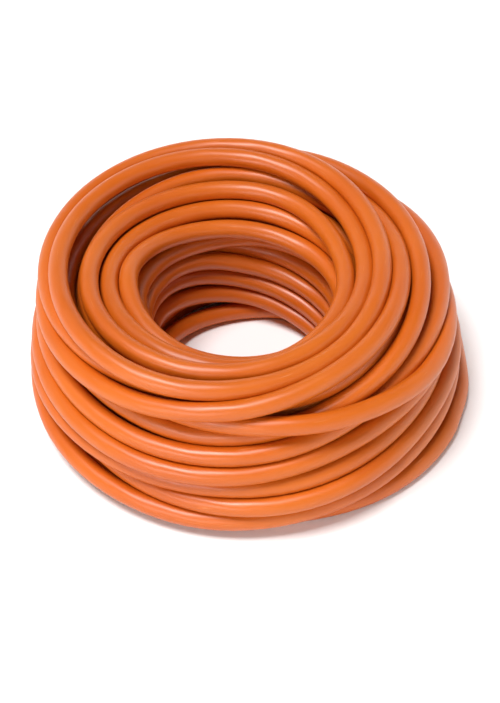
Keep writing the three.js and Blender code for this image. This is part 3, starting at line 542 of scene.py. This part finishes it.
# floor: white matt paint on board, rolled
FLOOR_PAINT = mottled("rolled_white_paint", ("#fbfbfb", "#f8f8f8"), (0.85, 0.95), 300, 3, 0.02)


def wear(material, *names):
    """Gives CAD nodes that stay as they are their real material."""
    for name in names:
        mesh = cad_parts[name].data
        mesh.materials.clear()
        mesh.materials.append(material)


wear(NYLON, "plug_blade_carrier", "connector_contact_housing")
wear(BRASS, "connector_line_contact", "connector_neutral_contact", "connector_earth_contact")

# ---------------------------------------------------------------- moulded ends

SIDES = 72  # points round each section of a moulding


def section(x, half_width, half_height, squareness):
    """Ring across the end's axis: an ellipse at squareness 2, a soft rectangle above 3."""
    angle = 2 * math.pi * np.arange(SIDES) / SIDES
    c, s = np.cos(angle), np.sin(angle)
    y = half_width * np.sign(c) * np.abs(c) ** (2 / squareness)
    z = half_height * np.sign(s) * np.abs(s) ** (2 / squareness)
    return np.stack([np.full(SIDES, x), y, z], 1)


def skin(rings, closed):
    """Points and faces over rings of equally many points; a skin that isn't closed gets caps."""
    count, sides = len(rings), len(rings[0])
    k = np.arange(sides)
    faces = []
    for i in range(count if closed else count - 1):
        here, there = i * sides, (i + 1) % count * sides
        quads = np.stack([here + k, here + (k + 1) % sides, there + (k + 1) % sides, there + k], 1)
        faces += quads.tolist()
    if not closed:
        faces += [k[::-1].tolist(), (k + (count - 1) * sides).tolist()]
    return np.concatenate(rings), faces


def end_piece(name, face, heading, parts, material, stands_for):
    """One piece of a moulded end, from skins in the end's own axes (x ahead out of its face)."""
    angle = math.radians(heading)
    ahead = np.array([math.cos(angle), math.sin(angle), 0])
    left = np.array([-math.sin(angle), math.cos(angle), 0])
    origin = np.array(beyond_foot(*face, END_LIFT))
    verts, faces = [], []
    for points, part_faces in parts:
        x, y, z = points[:, :1], points[:, 1:2], points[:, 2:]
        faces += [[i + len(verts) for i in one] for one in part_faces]
        verts += (origin + x * ahead + y * left + z * [0, 0, 1]).tolist()
    mesh = bpy.data.meshes.new(name)
    mesh.from_pydata(verts, [], faces)
    work = bmesh.new()
    work.from_mesh(mesh)
    bmesh.ops.recalc_face_normals(work, faces=work.faces)
    work.to_mesh(mesh)
    work.free()
    mesh.polygons.foreach_set("use_smooth", [True] * len(mesh.polygons))
    mesh.set_sharp_from_angle(angle=math.radians(38))
    mesh.materials.append(material)
    made = add_object(name, mesh)
    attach(made, "root")
    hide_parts(stands_for)
    return made


def softened(values, rounds):
    """The values with their corners rounded off, ends kept."""
    values = np.array(values, float)
    for _ in range(rounds):
        values[1:-1] = (values[:-2] + 2 * values[1:-1] + values[2:]) / 4
    return values


def body_rings(length):
    """Outside of a moulded end, back to front: neck, ribbed grip and full-size rim round the face."""
    w, h = END_WIDTH / 2, END_HEIGHT / 2
    stops = [
        [-length, RELIEF_BIG_D / 2, RELIEF_BIG_D / 2, 2],
        [-length + 0.2 * NECK_LENGTH, RELIEF_BIG_D / 2 + 1.2 * MM, RELIEF_BIG_D / 2 + 0.4 * MM, 2.2],
        [-length + 0.7 * NECK_LENGTH, w - NECK_SLIM, h - NECK_SLIM / 2, 2.6],
    ]
    rib_step = (length - GRIP_START - NECK_LENGTH) / GRIP_RIBS
    for k in reversed(range(GRIP_RIBS)):
        x = -GRIP_START - k * rib_step
        slim, low = (2.6 + 0.5 * k) * MM, (1.5 + 0.2 * k) * MM
        stops.append([x - rib_step * 0.75, w - slim + 0.5 * MM, h - low, 3])
        stops.append([x - rib_step * 0.45, w - slim + 0.9 * MM, h - low + 0.1 * MM, 3])
        stops.append([x, w - slim - 0.4 * MM, h - low - 0.4 * MM, 3])
    stops.append([-(RIM_DEPTH + GRIP_START) / 2, w - 1.6 * MM, h - 1.2 * MM, 3.2])
    stops.append([-RIM_DEPTH, w, h, 3.4])
    stops.append([-0.9 * MM, w, h, 3.4])
    stops.append([0, w - 0.9 * MM, h - 0.9 * MM, 3.4])
    stops = np.array(stops)
    x = np.linspace(-length, 0, 150)
    columns = [softened(np.interp(x, stops[:, 0], stops[:, i]), 5) for i in (1, 2, 3)]
    return [section(*row) for row in zip(x, *columns)]


def room_rings(length, seat_depth, barrel_back):
    """Inside of a moulded end, front to back: seat of its block, room for the cores, cable's bore."""
    w, h = END_WIDTH / 2 - WALL, END_HEIGHT / 2 - WALL
    room = w - 2.2 * MM, BLADE_PITCH / 2 + BARREL_D / 2 + 2 * CLEARANCE, 3
    bore = CABLE_D / 2 + CLEARANCE
    deep = -seat_depth - CLEARANCE
    return [
        section(0, w, h, 3.4), section(deep, w, h, 3.4), section(deep, *room),
        section(-barrel_back - 1 * MM, *room), section(CABLE_GRIP - length, bore, bore, 2),
        section(-length, bore, bore, 2),
    ]


def relief_rings(length):
    """Strain relief: a taper with open rings cut into it, so that it bends and doesn't kink."""
    back, front = -length - RELIEF_LENGTH, -length - CLEARANCE
    x = np.linspace(back, front, 190)
    radius = np.interp(x, [back, front], [RELIEF_SMALL_D / 2, RELIEF_BIG_D / 2])
    step = (RELIEF_LENGTH - 6 * MM) / RELIEF_RIBS
    cut = np.zeros(len(x))
    for k in range(RELIEF_RIBS):
        start = back + 2.6 * MM + k * step
        cut[(x > start) & (x < start + RIB_GAP)] = RIB_DEPTH
    radius = radius - softened(cut, 4)
    radius[:4] -= np.array([0.6, 0.3, 0.12, 0.03]) * MM
    bore = CABLE_D / 2 + CLEARANCE
    outside = [section(a, r, r, 2) for a, r in zip(x, radius)]
    return outside + [section(front, bore, bore, 2), section(back, bore, bore, 2)]


def turned(profile, y, z):
    """Round part on a line parallel to the end's axis; profile is (x, radius) from back to front."""
    return skin([section(x, r, r, 2) + [0, y, z] for x, r in profile], False)


def blade_outline(inset, tip_inset):
    """Edge of a blade, evenly dotted, with the corners of its tip rounded."""
    half, tip, back = BLADE_WIDTH / 2 - inset, BLADE_REACH - tip_inset, inset - SHANK_DEPTH
    bend = [(math.radians(a), 2 * MM) for a in range(0, 91, 10)]
    upper = [(tip - r + r * math.cos(a), half - r + r * math.sin(a)) for a, r in bend]
    lower = [(x, -y) for x, y in upper[::-1]]
    path = np.array([(tip, 0), *upper, (back, half), (back, -half), *lower, (tip, 0)])
    run = np.concatenate([[0], np.cumsum(np.linalg.norm(np.diff(path, axis=0), axis=1))])
    at = np.arange(160) * run[-1] / 160
    return np.stack([np.interp(at, run, path[:, i]) for i in (0, 1)], 1)


def blade(z):
    """Flat blade with bevelled edges and tip, a hole through it and a crimp barrel behind."""
    half = BLADE_THICK / 2
    centre = np.array([BLADE_REACH - BLADE_HOLE_INSET, 0])
    full, eased = blade_outline(0, 0), blade_outline(0.2 * MM, 0.7 * MM)
    away = np.arctan2(*(full - centre).T[::-1])
    rim = np.stack([np.cos(away), np.sin(away)], 1) * BLADE_HOLE_D / 2
    hole, wide_hole = centre + rim, centre + rim * 1.12
    layers = [
        (eased, -half), (full, -half + 0.3 * MM), (full, half - 0.3 * MM), (eased, half),
        (wide_hole, half), (hole, half - 0.2 * MM), (hole, 0.2 * MM - half), (wide_hole, -half),
    ]
    rings = [
        np.stack([flat[:, 0], flat[:, 1] + BLADE_Y, np.full(len(flat), z + level)], 1)
        for flat, level in layers
    ]
    return [skin(rings, True), barrel(BLADE_Y, z)]


def barrel(y, z):
    """Crimp barrel behind a contact, with a groove where it is squeezed on the core."""
    r, back = BARREL_D / 2, -SHANK_DEPTH - BARREL_LENGTH
    return turned(
        [(back, r - 0.3 * MM), (back + 0.3 * MM, r), (back + 2 * MM, r), (back + 2.6 * MM, r - 0.3 * MM),
         (back + 4 * MM, r - 0.3 * MM), (back + 4.6 * MM, r), (0.8 * MM - SHANK_DEPTH, r)], y, z)


def earth_pin():
    """Round pin with a domed tip, and its crimp barrel."""
    r = PIN_D / 2
    shank = [(-SHANK_DEPTH, r - 0.2 * MM), (0.2 * MM - SHANK_DEPTH, r)]
    nose = [
        (PIN_REACH - r + r * math.sin(a), r * max(math.cos(a), 0.02))
        for a in np.linspace(0.1, 1.55, 14)
    ]
    return [turned(shank + nose, PIN_Y, 0), barrel(PIN_Y, 0)]


def core_lines(length, barrel_back):
    """The three cores fan out from the sheath's end to the barrels: (name, line) each."""
    start, stop = CABLE_GRIP - length + CLEARANCE, -barrel_back - CLEARANCE
    lay = CABLE_D / 2 - CORE_D / 2 - 1 * MM
    goals = {
        "line": (BLADE_Y, BLADE_PITCH / 2, -0.5, 0.87),
        "neutral": (BLADE_Y, -BLADE_PITCH / 2, -0.5, -0.87),
        "earth": (PIN_Y, 0, 1, 0),
    }
    share = np.linspace(0, 1, 24)
    sway = share**2 * (3 - 2 * share)
    for name, (y, z, start_y, start_z) in goals.items():
        aside = start_y * lay + (y - start_y * lay) * sway
        above = start_z * lay + (z - start_z * lay) * sway
        yield name, np.stack([start + (stop - start) * share, aside, above], 1)


def wire(line):
    """Skin of a core round its line, which runs roughly along the end's axis."""
    return skin([section(0, CORE_D / 2, CORE_D / 2, 2) + point for point in line], False)


def moulded_end(end, face, heading, length, seat_depth, barrel_back):
    """Moulding, strain relief and cores of one end, in place of their CAD nodes."""
    made = [
        end_piece(end + "_body", face, heading,
                  [skin(body_rings(length) + room_rings(length, seat_depth, barrel_back), True)],
                  TPR, end + "_overmould"),
        end_piece(end + "_cable_sleeve", face, heading, [skin(relief_rings(length), True)],
                  TPR, end + "_strain_relief"),
    ]
    materials = {"line": LINE_PVC, "neutral": NEUTRAL_PVC, "earth": EARTH_PVC}
    for name, line in core_lines(length, barrel_back):
        made.append(end_piece(f"{end}_{name}_wire", face, heading, [wire(line)], materials[name],
                              f"{end}_{name}_core"))
    return made


moulded_end("plug", PLUG_FACE, PLUG_HEADING, PLUG_LENGTH, CARRIER_DEPTH, SHANK_DEPTH + BARREL_LENGTH)
for name, z in (("line", BLADE_PITCH / 2), ("neutral", -BLADE_PITCH / 2)):
    end_piece(f"plug_{name}_prong", PLUG_FACE, PLUG_HEADING, blade(z), BRASS, f"plug_{name}_blade")
end_piece("plug_earth_prong", PLUG_FACE, PLUG_HEADING, earth_pin(), BRASS, "plug_earth_pin")

connector_pieces = moulded_end("connector", CONNECTOR_FACE, CONNECTOR_HEADING, CONNECTOR_LENGTH,
                               HOUSING_DEPTH, HOUSING_DEPTH + BARREL_LENGTH / 2)
connector_pieces += [
    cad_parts["connector_" + name]
    for name in ("contact_housing", "line_contact", "neutral_contact", "earth_contact")
]

# ---------------------------------------------------------------- the cable, as one piece

line = cable_line()
cable = tube("cable", line, CABLE_D, CABLE_SIDES)
cable.data.materials.append(PVC)
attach(cable, "root")
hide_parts("coil_winding", "coil_core", "plug_tail", "connector_tail")

# ---------------------------------------------------------------- floor and light

COVE_FLAT, COVE_BEND, COVE_TOP = 2.0, 1.2, 2.6  # flat floor's radius, the bend's radius, the rim


def make_floor():
    """Pale floor that curves up into a round backdrop, all round the object."""
    bend = [(a, COVE_BEND) for a in np.linspace(0, math.pi / 2, 24)]
    profile = [(COVE_FLAT + r * math.sin(a), r - r * math.cos(a)) for a, r in bend]
    profile.append((COVE_FLAT + COVE_BEND, COVE_TOP))
    turn = 2 * math.pi * np.arange(128) / 128
    rings = [np.stack([r * np.cos(turn), r * np.sin(turn), np.full(128, z)], 1) for r, z in profile]
    verts, faces = skin(rings, False)
    mesh = bpy.data.meshes.new("floor")
    mesh.from_pydata(verts.tolist(), [], faces[:-1])
    mesh.polygons.foreach_set("use_smooth", [True] * len(mesh.polygons))
    made = add_object("floor", mesh)
    mesh.materials.append(FLOOR_PAINT)


def aim_lamp(name, kind, place, target, **settings):
    """Lamp at a place, pointing at a target; settings are its properties."""
    data = bpy.data.lights.new(name, kind)
    for key, value in settings.items():
        setattr(data, key, value)
    lamp = add_object(name, data)
    lamp.location = place
    lamp.rotation_euler = (Vector(target) - Vector(place)).to_track_quat("-Z", "Y").to_euler()


def make_light():
    world = bpy.data.worlds.new("studio")
    bpy.context.scene.world = world
    world.use_nodes = True
    world.node_tree.nodes["Background"].inputs["Color"].default_value = (1, 1, 1, 1)
    world.node_tree.nodes["Background"].inputs["Strength"].default_value = 0.08
    # a broad light far overhead, a little to the front left, so that the floor is evenly lit
    aim_lamp("overhead", "SUN", (-0.3, -0.16, 1.12), (0, 0, 0), energy=3.1, angle=math.radians(24))
    # a low wide one at the front left, for the coil's wall
    aim_lamp("front", "AREA", (-0.62, -1.05, 0.45), (0, 0, 0.03), energy=5.5,
             shape="RECTANGLE", size=0.8, size_y=0.35)
    bpy.context.scene.view_settings.view_transform = "Standard"


make_floor()
make_light()
